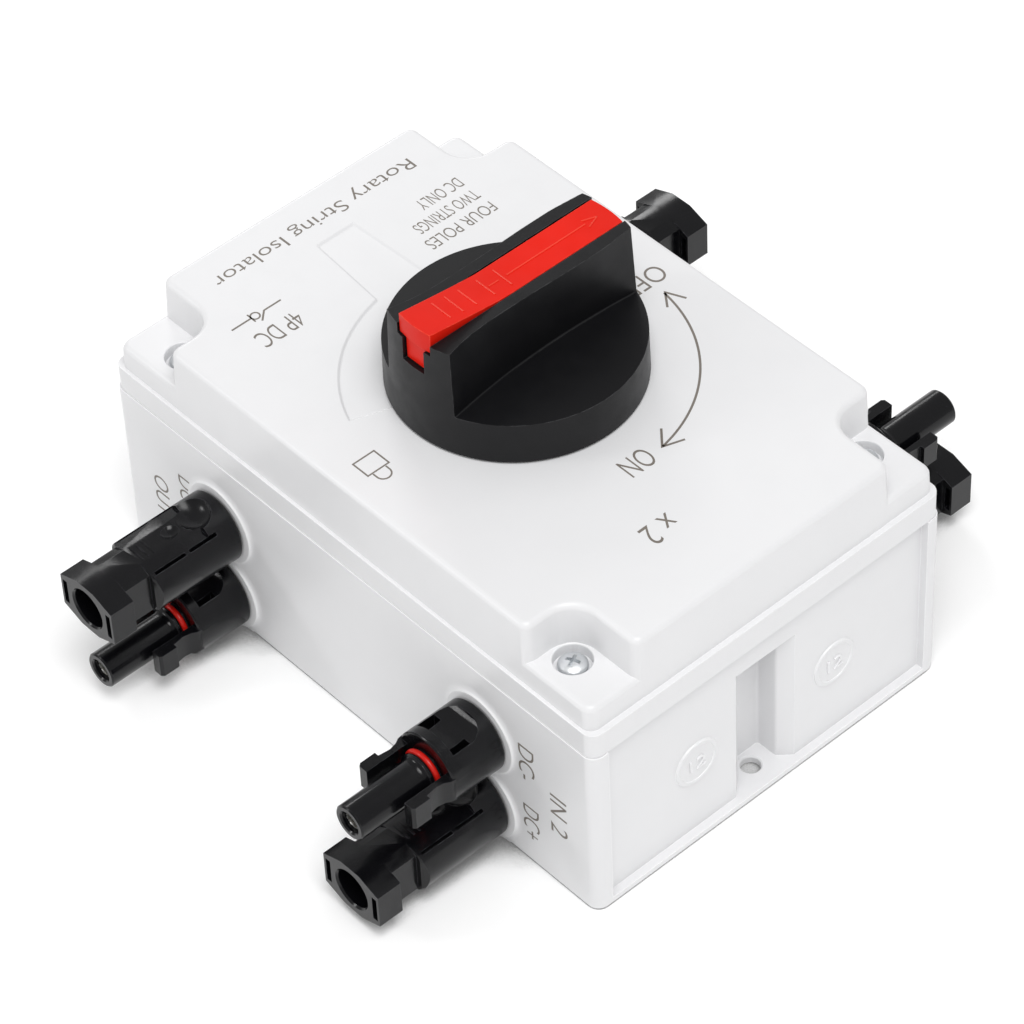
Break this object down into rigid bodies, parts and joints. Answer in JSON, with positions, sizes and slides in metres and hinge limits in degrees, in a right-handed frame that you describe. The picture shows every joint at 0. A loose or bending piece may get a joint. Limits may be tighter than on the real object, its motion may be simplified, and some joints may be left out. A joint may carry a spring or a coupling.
{
  "type": "rotary isolator switch",
  "caption": "Enclosed rotary isolator for solar strings: off-white box with screwed cover, black turn knob with red lock slider, and plug-in cable connectors on both sides.",
  "frame": {"origin": "centre of the rear (wall) face, which is also the bottom centre of the bounding box when the switch lies on its back", "axes": "+Z out of the cover, +Y towards the incoming side of the enclosure, +X to the right when facing the cover, along the connectors"},
  "size_m": [0.183, 0.16, 0.1058],
  "materials": {
    "enclosure_plastic": "satin moulded off-white",
    "handle_plastic": "satin moulded black",
    "slider_plastic": "glossy moulded red",
    "connector_plastic": "semi-gloss moulded black",
    "seal_rubber": "matte black rubber",
    "seal_red": "satin red silicone",
    "zinc_steel": "bright zinc plate",
    "contact_copper": "silver-faced copper alloy",
    "switch_moulding": "matte thermoset grey",
    "cable_jacket": "matte black sheath"
  },
  "bodies": {
    "base": {"rear_base": "enclosure_plastic", "front_cover": "enclosure_plastic", "cover_gasket": "seal_rubber", "cover_screw_1": "zinc_steel", "cover_screw_2": "zinc_steel", "cover_screw_3": "zinc_steel", "cover_screw_4": "zinc_steel", "knob_seal": "seal_rubber", "switch_foot": "switch_moulding", "pole_deck_1": "switch_moulding", "terminal_in_1": "contact_copper", "terminal_out_1": "contact_copper", "pole_deck_2": "switch_moulding", "terminal_in_2": "contact_copper", "terminal_out_2": "contact_copper", "pole_deck_3": "switch_moulding", "terminal_in_3": "contact_copper", "terminal_out_3": "contact_copper", "pole_deck_4": "switch_moulding", "terminal_in_4": "contact_copper", "terminal_out_4": "contact_copper", "mechanism_housing": "switch_moulding", "tube_connector_in_1_upper": "connector_plastic", "panel_nut_in_1_upper": "connector_plastic", "sealing_ring_in_1_upper": "seal_red", "lead_in_1_upper": "cable_jacket", "socket_connector_in_1_lower": "connector_plastic", "panel_nut_in_1_lower": "connector_plastic", "lead_in_1_lower": "cable_jacket", "socket_connector_out_1_upper": "connector_plastic", "panel_nut_out_1_upper": "connector_plastic", "lead_out_1_upper": "cable_jacket", "tube_connector_out_1_lower": "connector_plastic", "panel_nut_out_1_lower": "connector_plastic", "sealing_ring_out_1_lower": "seal_red", "lead_out_1_lower": "cable_jacket", "tube_connector_in_2_upper": "connector_plastic", "panel_nut_in_2_upper": "connector_plastic", "sealing_ring_in_2_upper": "seal_red", "lead_in_2_upper": "cable_jacket", "socket_connector_in_2_lower": "connector_plastic", "panel_nut_in_2_lower": "connector_plastic", "lead_in_2_lower": "cable_jacket", "socket_connector_out_2_upper": "connector_plastic", "panel_nut_out_2_upper": "connector_plastic", "lead_out_2_upper": "cable_jacket", "tube_connector_out_2_lower": "connector_plastic", "panel_nut_out_2_lower": "connector_plastic", "sealing_ring_out_2_lower": "seal_red", "lead_out_2_lower": "cable_jacket"},
    "knob": {"knob_body": "handle_plastic", "drive_spindle": "zinc_steel", "cam_plate": "switch_moulding", "snap_spring": "zinc_steel"},
    "slider": {"lock_slider": "slider_plastic"},
    "rotor": {"rotor_shaft": "switch_moulding", "moving_contact_1": "contact_copper", "moving_contact_2": "contact_copper", "moving_contact_3": "contact_copper", "moving_contact_4": "contact_copper"}
  },
  "joints": [
    {"name": "knob_turn", "type": "hinge", "parent": "base", "child": "knob", "pos_m": [0, 0, 0.08], "axis": [0, 0, -1], "range_deg": [0, 90]},
    {"name": "lock_slide", "type": "slide", "parent": "knob", "child": "slider", "axis": [1, 0, 0], "range_m": [0, 0.012]},
    {"name": "rotor_turn", "type": "hinge", "parent": "base", "child": "rotor", "pos_m": [0, 0, 0.03], "axis": [0, 0, -1], "range_deg": [0, 90]}
  ],
  "couplings": [
    {"joint": "rotor_turn", "follows": "knob_turn", "ratio": 1}
  ]
}
